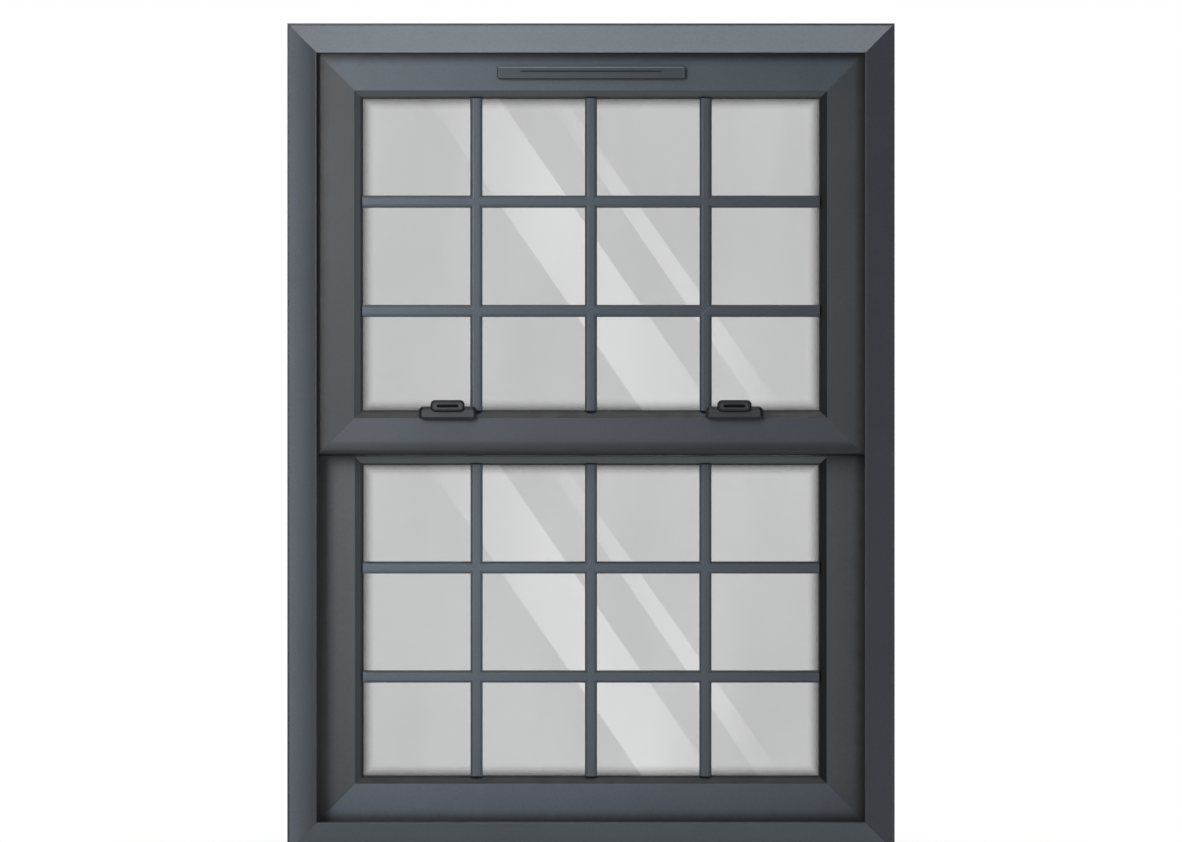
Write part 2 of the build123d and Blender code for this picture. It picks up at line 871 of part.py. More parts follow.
def lock_slide(place):
    """Grip of a lock, with an arm into the housing whose slanted slot moves the pin of the bolt."""
    grip_back = lock_front - grip_gap
    grip_low = lock_low + grip_rise
    grip_high = grip_low + grip_height
    centre = (place, grip_low + grip_height / 2)
    bridge_low = grip_high - bridge_height
    arm_low = pin_z - slot_radius - arm_wall
    arm_nick = lock_shoulder + lock_low + lock_wall + arm_gap - (arm_front + arm_low - lock_travel)
    slope_shift = (slot_radius + arm_wall) * 2**0.5
    slope_level = pin_z - pin_y - slope_shift
    arm_outline = [
        (arm_front, arm_low + arm_nick),
        (arm_front + arm_nick, arm_low),
        (arm_low - slope_level, arm_low),
        (arm_back, arm_back + slope_level),
        (arm_back, bridge_low),
        (arm_front, bridge_low),
    ]
    with BuildPart() as slide:
        with BuildSketch(Plane.XZ.offset(-grip_back)):
            with Locations(centre):
                RectangleRounded(grip_width, grip_height, grip_corner)
        extrude(amount=grip_thickness - grip_rim)
        with BuildSketch(Plane.XZ.offset(grip_thickness - grip_rim - grip_back)):
            with Locations(centre):
                RectangleRounded(grip_width, grip_height, grip_corner)
        extrude(amount=grip_rim, taper=45)
        with BuildSketch(Plane.XZ.offset(grip_thickness - grip_back)):
            with Locations(centre):
                SlotOverall(groove_width, groove_height)
        extrude(amount=-groove_depth, mode=Mode.SUBTRACT)
        bridge_x = (place - bridge_width / 2, place + bridge_width / 2)
        add(block(bridge_x, (grip_back, arm_back), (bridge_low, grip_high)).part)
        add(bar_of(arm_outline, place - arm_width / 2, place + arm_width / 2).part)
        with BuildSketch(Plane.YZ.offset(place - arm_width / 2)):
            with BuildLine():
                Line((pin_y, pin_z), (pin_y + lock_travel, pin_z + lock_travel))
            trace(line_width=2 * slot_radius)
            with Locations((pin_y, pin_z), (pin_y + lock_travel, pin_z + lock_travel)):
                Circle(slot_radius)
        extrude(amount=arm_width, mode=Mode.SUBTRACT)
    return slide


def lock_bolt(place):
    """Flat bolt with a forked front end, whose pin rides in the slot of the arm."""
    inner = arm_width / 2 + cheek_gap
    outer = inner + cheek_wall
    cheek_front = pin_y - cheek_radius
    cheek_back = pin_y + cheek_radius + cheek_heel
    cheek_outline = [
        (cheek_front, bolt_low + cheek_nick),
        (cheek_front + cheek_nick, bolt_low),
        (cheek_back, bolt_low),
        (cheek_back, bolt_high),
        (pin_y + cheek_radius, pin_z),
        (cheek_front, pin_z),
    ]
    with BuildPart() as bolt:
        for start in (place - outer, place + inner):
            add(bar_of(cheek_outline, start, start + cheek_wall).part)
            with BuildSketch(Plane.YZ.offset(start)):
                with Locations((pin_y, pin_z)):
                    Circle(cheek_radius)
            extrude(amount=cheek_wall)
        with BuildSketch(Plane.YZ.offset(place - outer)):
            with Locations((pin_y, pin_z)):
                Circle(pin_diameter / 2)
        extrude(amount=2 * outer)
        cross_y = (cheek_back - bolt_cross, cheek_back)
        add(block((place - outer, place + outer), cross_y, (bolt_low, bolt_high)).part)
        bar_outline = [
            (cheek_back - bolt_cross, bolt_low),
            (bolt_tip - bolt_lead, bolt_low),
            (bolt_tip, bolt_low + bolt_lead),
            (bolt_tip, bolt_high),
            (cheek_back - bolt_cross, bolt_high),
        ]
        add(bar_of(bar_outline, place - bolt_width / 2, place + bolt_width / 2).part)
    return bolt


keeper_front = upper_rear + keeper_gap
keeper_top = lower_high + keeper_wall
keeper_outline = [
    (keeper_front, keeper_top - keeper_drop),
    (keeper_front + keeper_wall, keeper_top - keeper_drop),
    (keeper_front + keeper_wall, lower_high),
    (keeper_front + keeper_length, lower_high),
    (keeper_front + keeper_length, keeper_top),
    (keeper_front, keeper_top),
]
with BuildPart() as lock_keepers:
    for place in (-lock_place, lock_place):
        add(bar_of(keeper_outline, place - keeper_width / 2, place + keeper_width / 2).part)
save("lock_keepers", lock_keepers)
for word, place in (("left", -lock_place), ("right", lock_place)):
    save(f"lock_base_{word}", lock_base(place))
    save(f"lock_slide_{word}", lock_slide(place))
    save(f"lock_bolt_{word}", lock_bolt(place))


def bolt_ways(depth):
    """Room for both bolts through the members at the edge of the glass."""
    with BuildPart() as ways:
        for place in (-lock_place, lock_place):
            x = (place - notch_half, place + notch_half)
            add(block(x, depth, (rebate_floor, notch_high)).part)
    return ways


with BuildPart() as upper_bottom_rail:
    add(rails["upper", "bottom"].part)
    add(bolt_ways((upper_front + leg_front, upper_rear)).part, mode=Mode.SUBTRACT)
save("upper_bottom_rail", upper_bottom_rail)

with BuildPart() as upper_bead_bottom:
    add(beads["upper"]["bottom"].part)
    add(bolt_ways((bead_front, upper_front + bead_thickness)).part, mode=Mode.SUBTRACT)
save("upper_bead_bottom", upper_bead_bottom)

# Ventilator: air slots through the top rail, a slotted base, an outer grille and a flap, whose round
# bead snaps into a groove of the base and turns there
vent_z = opening_high - vent_centre
vent_low = vent_z - vent_height / 2
vent_base_front = upper_front - vent_base_thickness
flap_back = vent_base_front - vent_gap
flap_front = flap_back - vent_flap_thickness
hinge_y = vent_base_front + hinge_depth
hinge_z = vent_low + hinge_rise
hinge_half = vent_width / 2 - hinge_end


def air_passage(start, end):
    """Row of round-ended air slots between two depths."""
    with BuildPart() as passage:
        with BuildSketch(Plane.XZ.offset(-end)):
            with Locations((0, vent_z)):
                with GridLocations(air_slot_pitch, 1, air_slot_count, 1):
                    SlotOverall(air_slot_width, air_slot_height)
        extrude(amount=end - start)
    return passage


with BuildPart() as upper_top_rail:
    add(rails["upper", "top"].part)
    add(air_passage(upper_front, upper_rear).part, mode=Mode.SUBTRACT)
save("upper_top_rail", upper_top_rail)

with BuildPart() as vent_base:
    with BuildSketch(Plane.XZ.offset(-upper_front)):
        with Locations((0, vent_z)):
            RectangleRounded(vent_width - 2 * vent_rim, vent_height - 2 * vent_rim, vent_corner - vent_rim)
    extrude(amount=vent_base_thickness)
    add(air_passage(vent_base_front, upper_front).part, mode=Mode.SUBTRACT)
    with BuildSketch(Plane.YZ.offset(-vent_width / 2)):
        with Locations((hinge_y, hinge_z)):
            Circle(hinge_diameter / 2 + hinge_clearance)
        Polygon(
            (vent_base_front, vent_low),
            (hinge_y, vent_low),
            (hinge_y, hinge_z + hinge_web / 2 + hinge_web_gap),
            (vent_base_front, hinge_z + hinge_web / 2 + hinge_web_gap),
        )
    extrude(amount=vent_width, mode=Mode.SUBTRACT)
save("vent_base", vent_base)

with BuildPart() as vent_flap:
    with BuildSketch(Plane.XZ.offset(-flap_back)):
        with Locations((0, vent_z)):
            RectangleRounded(vent_width, vent_height, vent_corner)
    extrude(amount=vent_flap_thickness - vent_rim)
    with BuildSketch(Plane.XZ.offset(-(flap_front + vent_rim))):
        with Locations((0, vent_z)):
            RectangleRounded(vent_width, vent_height, vent_corner)
    extrude(amount=vent_rim, taper=45)
    with BuildSketch(Plane.XZ.offset(-flap_front)):
        with Locations((0, vent_z + vent_groove_rise)):
            Rectangle(vent_groove_width, vent_groove_height)
    extrude(amount=-vent_groove_depth, mode=Mode.SUBTRACT)
    with BuildSketch(Plane.YZ.offset(-hinge_half)):
        with Locations((hinge_y, hinge_z)):
            Circle(hinge_diameter / 2)
        Polygon(
            (flap_back, hinge_z - hinge_web / 2),
            (hinge_y, hinge_z - hinge_web / 2),
            (hinge_y, hinge_z + hinge_web / 2),
            (flap_back, hinge_z + hinge_web / 2),
        )
    extrude(amount=2 * hinge_half)
save("vent_flap", vent_flap)

with BuildPart() as vent_grille:
    with BuildSketch(Plane.XZ.offset(-(upper_rear + grille_thickness))):
        with Locations((0, vent_z)):
            RectangleRounded(vent_width, grille_height, vent_corner)
    extrude(amount=grille_thickness)
    add(air_passage(upper_rear, upper_rear + grille_thickness).part, mode=Mode.SUBTRACT)
save("vent_grille", vent_grille)
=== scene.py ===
"""Looks of the sash window: materials, balances, pile seals, screws, stage, lights and camera."""
import math
import random

import bpy
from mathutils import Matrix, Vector


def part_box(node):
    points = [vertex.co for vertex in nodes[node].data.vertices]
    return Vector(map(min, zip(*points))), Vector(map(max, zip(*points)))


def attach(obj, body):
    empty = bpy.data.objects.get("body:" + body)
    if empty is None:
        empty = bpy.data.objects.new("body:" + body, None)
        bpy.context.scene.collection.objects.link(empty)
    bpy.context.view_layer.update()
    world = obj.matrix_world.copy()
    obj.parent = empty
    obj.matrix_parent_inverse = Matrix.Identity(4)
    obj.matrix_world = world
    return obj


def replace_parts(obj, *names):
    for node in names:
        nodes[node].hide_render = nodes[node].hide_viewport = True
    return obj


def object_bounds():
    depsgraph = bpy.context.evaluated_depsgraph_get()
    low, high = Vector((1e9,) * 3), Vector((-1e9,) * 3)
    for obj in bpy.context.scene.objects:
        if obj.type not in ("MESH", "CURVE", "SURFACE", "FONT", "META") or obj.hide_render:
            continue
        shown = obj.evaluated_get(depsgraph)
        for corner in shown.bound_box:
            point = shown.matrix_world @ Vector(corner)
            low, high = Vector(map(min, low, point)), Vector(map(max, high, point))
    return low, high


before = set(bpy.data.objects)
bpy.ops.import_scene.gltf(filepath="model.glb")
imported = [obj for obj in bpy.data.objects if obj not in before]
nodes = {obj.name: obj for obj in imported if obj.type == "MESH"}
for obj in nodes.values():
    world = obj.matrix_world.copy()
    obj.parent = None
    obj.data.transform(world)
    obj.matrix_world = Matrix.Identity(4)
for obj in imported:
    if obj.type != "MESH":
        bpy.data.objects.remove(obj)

cad_low, cad_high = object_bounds()
random.seed(7)
MM = 0.001
LIP = 0.406  # half width between the lips of the frame
OPENING = (0.044, 1.184)  # low and high edge of what the frame's lips leave open
UPPER_LOW = 0.587  # low edge of the upper sash
OVER_LOWER = 0.660  # over the top of the lower sash, which has no dark band
CAMERA_DISTANCE, CAMERA_HEIGHT = 24.37, 0.6387
STREAK_AWAY, GLASS_DISTANCE = 2.5, 24.3  # from window to strip lights, and from camera to glass


# Node trees
class Tree:
    """A new material with one shader, and short calls that add nodes to it."""

    def __init__(self, name, **values):
        self.material = bpy.data.materials.new(name)
        self.material.use_nodes = True
        self.tree = self.material.node_tree
        self.shader = self.tree.nodes["Principled BSDF"]
        self.output = self.tree.nodes["Material Output"]
        for socket, value in values.items():
            self.shader.inputs[socket.replace("_", " ")].default_value = value
        self.place = self.node("ShaderNodeTexCoord").outputs["Object"]

    def node(self, kind, inputs=None, **settings):
        new = self.tree.nodes.new(kind)
        for key, value in settings.items():
            setattr(new, key, value)
        for socket, value in (inputs or {}).items():
            self.put(new.inputs[socket], value)
        return new

    def put(self, socket, value):
        if isinstance(value, bpy.types.NodeSocket):
            self.tree.links.new(value, socket)
        else:
            socket.default_value = value

    def stretched(self, scale):
        return self.node("ShaderNodeMapping", {"Vector": self.place, "Scale": scale}).outputs["Vector"]

    def noise(self, scale, detail=3, vector=None, roughness=0.5):
        return self.node(
            "ShaderNodeTexNoise",
            {"Vector": vector or self.place, "Scale": scale, "Detail": detail, "Roughness": roughness},
        ).outputs["Fac"]

    def span(self, value, low, high, start=0.0, end=1.0, smooth=False):
        kind = "SMOOTHSTEP" if smooth else "LINEAR"
        return self.node(
            "ShaderNodeMapRange",
            {"Value": value, "From Min": start, "From Max": end, "To Min": low, "To Max": high},
            interpolation_type=kind,
        ).outputs["Result"]

    def swing(self, noise, low, high):
        """Most of what a noise gives, spread from low to high."""
        return self.span(noise, low, high, 0.3, 0.7)

    def step(self, value, place):
        """0 below a place and 1 above it, with a fine edge."""
        return self.span(value, 0, 1, place - 0.0002, place + 0.0002)

    def math(self, operation, first, second=0.0):
        return self.node("ShaderNodeMath", {0: first, 1: second}, operation=operation).outputs[0]

    def mix(self, share, first, second):
        return self.node(
            "ShaderNodeMix", {0: share, 6: first, 7: second}, data_type="RGBA"
        ).outputs[2]

    def shade(self, colour, factor):
        """Colour times a grey factor."""
        grey = self.node("ShaderNodeCombineColor", {0: factor, 1: factor, 2: factor}).outputs[0]
        return self.node(
            "ShaderNodeMix", {0: 1.0, 6: colour, 7: grey}, data_type="RGBA", blend_type="MULTIPLY"
        ).outputs[2]

    def axis(self, name, output="Object"):
        coordinates = self.node("ShaderNodeTexCoord").outputs[output]
        return self.node("ShaderNodeSeparateXYZ", {0: coordinates}).outputs[name]

    def outline(self, centre, half, corner):
        """Distance in front view to the edge of a rounded rectangle, negative inside. centre and half are
        (x, z); the same shape stands mirrored on the other side of the window."""
        aside = self.math("SUBTRACT", self.math("ABSOLUTE", self.axis("X")), centre[0])
        level = self.math("SUBTRACT", self.axis("Z"), centre[1])
        u = self.math("SUBTRACT", self.math("ABSOLUTE", aside), half[0] - corner)
        v = self.math("SUBTRACT", self.math("ABSOLUTE", level), half[1] - corner)
        squares = [self.math("POWER", self.math("MAXIMUM", way, 0.0), 2.0) for way in (u, v)]
        outside = self.math("SQRT", self.math("ADD", *squares))
        inside = self.math("MINIMUM", self.math("MAXIMUM", u, v), 0.0)
        return self.math("SUBTRACT", self.math("ADD", outside, inside), corner)

    def inset(self, half, middle, rise, blend):
        """Distance in front view from the edge of a rectangle inwards. half and rise are half its width and
        height, middle is the height of its centre, and blend rounds the corners."""
        across = self.math("SUBTRACT", half, self.math("ABSOLUTE", self.axis("X")))
        level = self.math("ABSOLUTE", self.math("SUBTRACT", self.axis("Z"), middle))
        upward = self.math("SUBTRACT", rise, level)
        nearest = self.node("ShaderNodeMath", {0: across, 1: upward, 2: blend}, operation="SMOOTH_MIN")
        return nearest.outputs[0]

    def bump(self, height, strength, distance):
        return self.node(
            "ShaderNodeBump", {"Height": height, "Strength": strength, "Distance": distance}
        ).outputs["Normal"]

    def finish(self, colour=None, roughness=None, normal=None):
        for socket, value in (("Base Color", colour), ("Roughness", roughness), ("Normal", normal)):
            if value is not None:
                self.put(self.shader.inputs[socket], value)
        return self.material


def colour_of(code):
    """Linear colour of a hex code."""
    parts = [int(code[i : i + 2], 16) / 255 for i in (0, 2, 4)]
    linear = [c / 12.92 if c <= 0.04045 else ((c + 0.055) / 1.055) ** 2.4 for c in parts]
    return (*linear, 1.0)


def coating(
    name, code, rough=(0.36, 0.5), tone=0.05, border_shade=None, recess_shade=None, inset_shade=None, light_ramps=(), light_lines=(),
    light_rims=(), lit_side_shade=None, specular=0.5,
):
    """Satin powder coat with fine peel, a mottled tone and small specks, with painted light and shade laid on
    it.
    Lengths are in metres. border_shade, light_ramps, light_lines and light_rims only touch what faces front.
    border_shade: an outline, and the width and colour of a band of painted shade inside it.
    recess_shade: a depth, and the colour of painted shade on what lies deeper, which is dull.
    inset_shade: half width, low and high edge of a rectangle, and the tone of painted shade at its edge, which
    grows lighter inwards.
    light_ramps: painted light and shade, slow changes of tone across a piece (axis, start, end, factor at
    start, factor at end).
    light_lines: painted highlights or shade along edges (axis, place, reach, factor).
    light_rims: such painted highlights or shade round an outline (outline, reach, factor).
    lit_side_shade: the tone of painted shade on what leans to the upper left, towards the key lamp."""
    tree = Tree(name, Metallic=0.0, IOR=1.45, Specular_IOR_Level=specular)
    blotch = tree.swing(tree.noise(5.0, 4), 1 - tone, 1 + tone)
    grain = tree.swing(tree.noise(260.0, 3), -0.05, 0.05)
    speck = tree.span(tree.noise(1500.0, 1), 0.93, 1.05, 0.25, 0.75)
    tone_of = tree.math("MULTIPLY", tree.math("ADD", blotch, grain), speck)
    colour = tree.shade(colour_of(code), tone_of)
    front = tree.span(tree.math("MULTIPLY", tree.axis("Y", "Normal"), -1.0), 0, 1, 0.1, 0.3)

    def shade_front(rise):
        """The colour times 1 + rise, where it faces front."""
        return tree.shade(colour, tree.math("ADD", 1.0, tree.math("MULTIPLY", front, rise)))

    # A band of painted shade inside an outline, on a sloped edge
    if border_shade:
        shape, width, border_shade_code = border_shade
        at_edge = tree.math("MULTIPLY", front, tree.step(tree.outline(*shape), -width))
        colour = tree.mix(at_edge, colour, tree.shade(colour_of(border_shade_code), tone_of))
    # Painted shade in a groove, on what lies deeper than a depth
    if recess_shade:
        depth, shade_in_recess = recess_shade
        inside = tree.step(tree.axis("Y"), depth)
        colour = tree.mix(inside, colour, colour_of(shade_in_recess))
    # Painted shade: bands that grow lighter inwards from a rectangle's edges, standing in for the shade of the
    # frame's lip
    if inset_shade:
        half, low, high, darkest = inset_shade
        inset = tree.inset(half, (low + high) / 2, (high - low) / 2, 0.008)
        wavy = tree.math("ADD", inset, tree.swing(tree.noise(60.0, 3), -0.0008, 0.0008))
        colour = tree.shade(colour, tree.span(wavy, darkest, 1.0, 0.0, 0.020, smooth=True))
    # Painted light and shade as slow changes of tone across a piece
    for axis, start, end, first, last in light_ramps:
        colour = shade_front(tree.span(tree.axis(axis), first - 1, last - 1, start, end))
    # Painted shade on the side that the key lamp lights
    if lit_side_shade:
        lean = tree.math("SUBTRACT", tree.axis("Z", "Normal"), tree.axis("X", "Normal"))
        colour = tree.shade(colour, tree.span(lean, 1.0, lit_side_shade, 0.1, 0.8, smooth=True))
    # Painted highlights and shade along edges and round outlines
    edges = [(tree.math("SUBTRACT", tree.axis(axis), place), *rest) for axis, place, *rest in light_lines]
    edges += [(tree.outline(*shape), *rest) for shape, *rest in light_rims]
    for off, reach, factor in edges:
        far = tree.math("ABSOLUTE", off)
        colour = shade_front(tree.span(far, factor - 1, 0.0, reach * 0.55, reach, smooth=True))
    peel = tree.math("ADD", tree.noise(900.0, 2), tree.math("MULTIPLY", tree.noise(2600.0, 1), 0.5))
    rough_of = tree.swing(tree.noise(40.0, 4), *rough)
    if recess_shade:
        rough_of = tree.math("MAXIMUM", rough_of, inside)
    return tree.finish(colour, rough_of, tree.bump(peel, 0.16, 0.00025))


def metal(name, code, rough=(0.28, 0.45), along="Z", brushed=True):
    """Bare or zinc-plated metal with drawing marks along one axis."""
    tree = Tree(name, Metallic=1.0)
    fine, long = 420, 6
    scale = [long if axis == along else fine for axis in "XYZ"] if brushed else (120, 120, 120)
    marks = tree.noise(1.0, 4, tree.stretched(scale))
    cloud = tree.noise(18.0, 4)
    tone_of = tree.math("ADD", tree.swing(cloud, 0.84, 1.1), tree.swing(marks, -0.08, 0.08))
    rough_of = tree.math("ADD", tree.swing(marks, *rough), tree.swing(cloud, -0.04, 0.06))
    return tree.finish(tree.shade(colour_of(code), tone_of), rough_of, tree.bump(marks, 0.12, 0.0002))


def moulded(name, code, rough=(0.42, 0.6)):
    """Moulded plastic or rubber with a fine grain."""
    tree = Tree(name, IOR=1.5)
    grain = tree.noise(700.0, 2)
    cloud = tree.noise(25.0, 3)
    tone_of = tree.math("ADD", tree.swing(cloud, 0.88, 1.12), tree.swing(grain, -0.06, 0.06))
    rough_of = tree.swing(tree.noise(60.0, 3), *rough)
    return tree.finish(tree.shade(colour_of(code), tone_of), rough_of, tree.bump(grain, 0.2, 0.0002))


def pane_glass(name, tint, film, sight):
    """Tinted pane that shows what is behind it, with a thin grey film of painted shade that thickens at its
    edges, where the beads stand over it, and a faint grey smear all over. film is the share of painted shade
    at the edge. sight is the half width, middle height and half height of what shows of the pane."""
    tree = Tree(name)
    tree.tree.nodes.remove(tree.shader)
    wavy = tree.math("ADD", tree.inset(*sight, 0.006), tree.swing(tree.noise(22.0, 2), -0.0003, 0.0003))
    rim = tree.math("POWER", tree.span(wavy, 1, 0, -0.002, 0.02), 2.2)
    smear = tree.span(tree.noise(7.0, 5, tree.stretched((1, 1, 0.4))), 0.0, 0.03, 0.35, 0.75)
    share = tree.math("ADD", tree.math("MULTIPLY", rim, film), smear)
    clear = tree.node("ShaderNodeBsdfTransparent", {"Color": tint})
    # The grey diffuse part is painted shade at the pane's edges and a faint smear all over
    shade_and_smear = tree.node("ShaderNodeBsdfDiffuse", {"Color": colour_of("6f6a69")})
    body = tree.node("ShaderNodeMixShader", {0: share, 1: clear.outputs[0], 2: shade_and_smear.outputs[0]})
    dull = tree.swing(tree.noise(12.0, 3), 0.0, 0.02)
    gloss = tree.node("ShaderNodeBsdfAnisotropic", {"Color": (1, 1, 1, 1), "Roughness": dull})
    # Schlick's curve, which is the same from both sides of the pane
    facing = tree.node("ShaderNodeLayerWeight", {"Blend": 0.5}).outputs["Facing"]
    fresnel = tree.span(tree.math("POWER", facing, 5.0), 0.034, 1.0)
    mixed = tree.node("ShaderNodeMixShader", {0: fresnel, 1: body.outputs[0], 2: gloss.outputs[0]})
    tree.tree.links.new(mixed.outputs[0], tree.output.inputs["Surface"])
    return tree.material


def dress(names, material):
    for name in names:
        mesh = nodes[name].data
        mesh.materials.clear()
        mesh.materials.append(material)


# The outlines and edges that the coats follow
materials = {}
edge = cad_high[0]
upper_face = (LIP, UPPER_LOW, OPENING[1])
lower_face = (LIP, OPENING[0], OVER_LOWER)
lit, shaded, deep_shaded = 0.62, 0.24, 0.14  # tones at the edge of the painted shade bands, by how much light each side gets
bead_cover = 5 * MM
sights = {}  # half width, middle height and half height of what the beads leave of each pane
for sash in ("upper", "lower"):
    low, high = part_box(f"{sash}_inner_pane")
    half, rise = (high[0] - low[0]) / 2 - bead_cover, (high[2] - low[2]) / 2 - bead_cover
    sights[sash] = (half, (low[2] + high[2]) / 2, rise)
# Painted shade on the beads where they meet the glass
sight_shade_rims = [(((0, middle), (half, rise), 0.0), 2.2 * MM, 0.45) for half, middle, rise in sights.values()]
lock_low, lock_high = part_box("lock_base_right")
lock_middle = ((lock_low[0] + lock_high[0]) / 2, (lock_low[2] + lock_high[2]) / 2)
lock_shape = (lock_middle, ((lock_high[0] - lock_low[0]) / 2, (lock_high[2] - lock_low[2]) / 2), 7.5 * MM)
grip_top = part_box("lock_slide_right")[1][2]
grip_half = (25.3 * MM, 8.75 * MM)
grip_shape = ((lock_middle[0], grip_top - grip_half[1]), grip_half, 7 * MM)
# Painted shade on the sloped edges of lock and grip: the band's width and colour; and painted shade in the
# grooves of grip and flap
lock_shade_border, lock_shade_code = 4.6 * MM, "1e2428"
grip_groove_shade, flap_groove_shade = (-0.0658, "0e1214"), (-0.0554, "30373c")
# Painted highlights along the flap's top and right edges and painted shade along its bottom and left edges
flap_low, flap_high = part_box("vent_flap")
flap_light_lines = [
    ("Z", flap_high[2], 3.0 * MM, 3.4), ("Z", flap_low[2], 2.2 * MM, 0.4),
    ("X", flap_high[0], 2.6 * MM, 2.1), ("X", flap_low[0], 2.2 * MM, 0.6),
]
bar_light_span = (-0.3, 0.35)

# Frame members are lit and shaded copies of one coat. Head: a lighter copy, painted lighter to the right, with
# painted shade along its top edge
materials["head"] = coating(
    "head_powder_coat", "787f86", light_ramps=[("X", -edge, edge, 0.9, 1.24)],
    light_lines=[("Z", cad_high[2], 4.4 * MM, 0.36)],
)
# Sill and covers: painted lighter to the right
materials["frame"] = coating("frame_powder_coat", "586066", light_ramps=[("X", -edge, edge, 1.0, 1.14)])
# Left jamb: painted shade along its outer edge, painted light that turns to shade towards its inner edge, and
# painted lighter towards the bottom
materials["jamb_left"] = coating(
    "left_jamb_powder_coat", "50565c", light_lines=[("X", -edge, 4.0 * MM, 0.36)],
    light_ramps=[("X", -edge, -LIP, 1.55, 0.5), ("Z", 0.2, 1.1, 1.25, 1.0)],
)
# Right jamb: painted highlight along its outer edge
materials["jamb_right"] = coating("right_jamb_powder_coat", "4e545a", light_lines=[("X", edge, 5.0 * MM, 1.6)])
# Sash rails and stiles are lit and shaded copies of one coat. The top rail has painted shade below the head
materials["upper_rail"] = coating(
    "upper_rail_powder_coat", "59626b", inset_shade=(*upper_face, deep_shaded),
    light_lines=[("Z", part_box("upper_top_rail")[1][2], 24 * MM, 0.58)],
)
# Meeting rail: painted shade along its lower edge
materials["meeting_rail"] = coating(
    "meeting_rail_powder_coat", "4e565d", inset_shade=(*upper_face, shaded),
    light_lines=[("Z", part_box("upper_bottom_rail")[0][2], 26 * MM, 0.5)],
)
# The upper left stile is a shaded copy
materials["upper_stile_left"] = coating(
    "upper_left_stile_powder_coat", "424649", inset_shade=(*upper_face, shaded)
)
materials["upper_stile_right"] = coating(
    "upper_right_stile_powder_coat", "4c5154", inset_shade=(*upper_face, deep_shaded)
)
# Lower rail: painted lighter to the left and darker to the right
materials["lower_rail"] = coating(
    "lower_rail_powder_coat", "69727c", inset_shade=(*lower_face, shaded), light_ramps=[("X", -edge, edge, 1.2, 0.88)]
)
materials["lower_stile_left"] = coating(
    "lower_left_stile_powder_coat", "5b6164", inset_shade=(*lower_face, lit)
)
materials["lower_stile_right"] = coating(
    "lower_right_stile_powder_coat", "5b6164", inset_shade=(*lower_face, deep_shaded)
)
# Beads are lit and shaded copies of one coat: bottom and right beads are shaded copies, painted lighter or
# darker by sash, and the lower sash's top bead is a lighter copy against the meeting rail's shade
materials["bead"] = coating("bead_powder_coat", "4e5357", light_rims=sight_shade_rims)
materials["bead_low"] = coating(
    "lower_bead_powder_coat", "2d3133", light_rims=sight_shade_rims, light_ramps=[("Z", 0.06, 0.62, 1.34, 0.92)]
)
materials["bead_right"] = coating(
    "right_bead_powder_coat", "1d2022", light_rims=sight_shade_rims, light_ramps=[("Z", 0.62, 0.66, 0.67, 1.2)], specular=0.3
)
materials["bead_back"] = coating("set_back_bead_powder_coat", "767d82", light_rims=sight_shade_rims)
# Glazing bars: painted darker to the right, with painted shade on faces that lean to the upper left
materials["upper_bar"] = coating(
    "upper_bar_powder_coat", "58606a", light_ramps=[("X", *bar_light_span, 1.02, 0.68)], lit_side_shade=0.6
)
materials["lower_bar"] = coating(
    "lower_bar_powder_coat", "6a737d", light_ramps=[("X", *bar_light_span, 1.0, 0.68)], lit_side_shade=0.6
)
materials["flap"] = coating("flap_powder_coat", "464d55", recess_shade=flap_groove_shade, light_lines=flap_light_lines)
materials["vent"] = coating("vent_powder_coat", "464d55")
materials["vent_base"] = coating("vent_base_coat", "4b535a")
# Lock and grip: painted shade in a band on their sloped edges, more painted shade along the lock's top edge,
# and painted shade in the grip's groove
materials["lock"] = coating(
    "lock_enamel", "3f4449", rough=(0.34, 0.46), tone=0.04,
    border_shade=(lock_shape, lock_shade_border, lock_shade_code), light_lines=[("Z", lock_high[2], 6.0 * MM, 0.3)],
)
materials["grip"] = coating(
    "grip_enamel", "3f4449", rough=(0.34, 0.46), tone=0.04,
    border_shade=(grip_shape, lock_shade_border, lock_shade_code), recess_shade=grip_groove_shade,
)
materials["inside"] = coating("interlock_coat", "4a5057")
materials["steel"] = metal("zinc_plate", "a9aaac", along="Y")
materials["tube"] = metal("balance_tube_aluminium", "b9bbbe", rough=(0.3, 0.42), along="Z")
materials["spiral"] = metal("galvanised_strip", "9d9fa2", rough=(0.3, 0.5), along="Z", brushed=False)
materials["cleat"] = metal("sawn_aluminium", "c4c5c7", rough=(0.4, 0.6), along="Y")
materials["spacer"] = metal("spacer_bar", "7d7a78", rough=(0.45, 0.6), along="X")
materials["nylon"] = moulded("black_nylon", "202123")
materials["cap"] = moulded("grey_nylon", "3a3c3e")
materials["gasket"] = moulded("glazing_rubber", "1b1d1f", rough=(0.55, 0.7))
materials["pile"] = moulded("pile_yarn", "2a2c2e", rough=(0.8, 0.95))

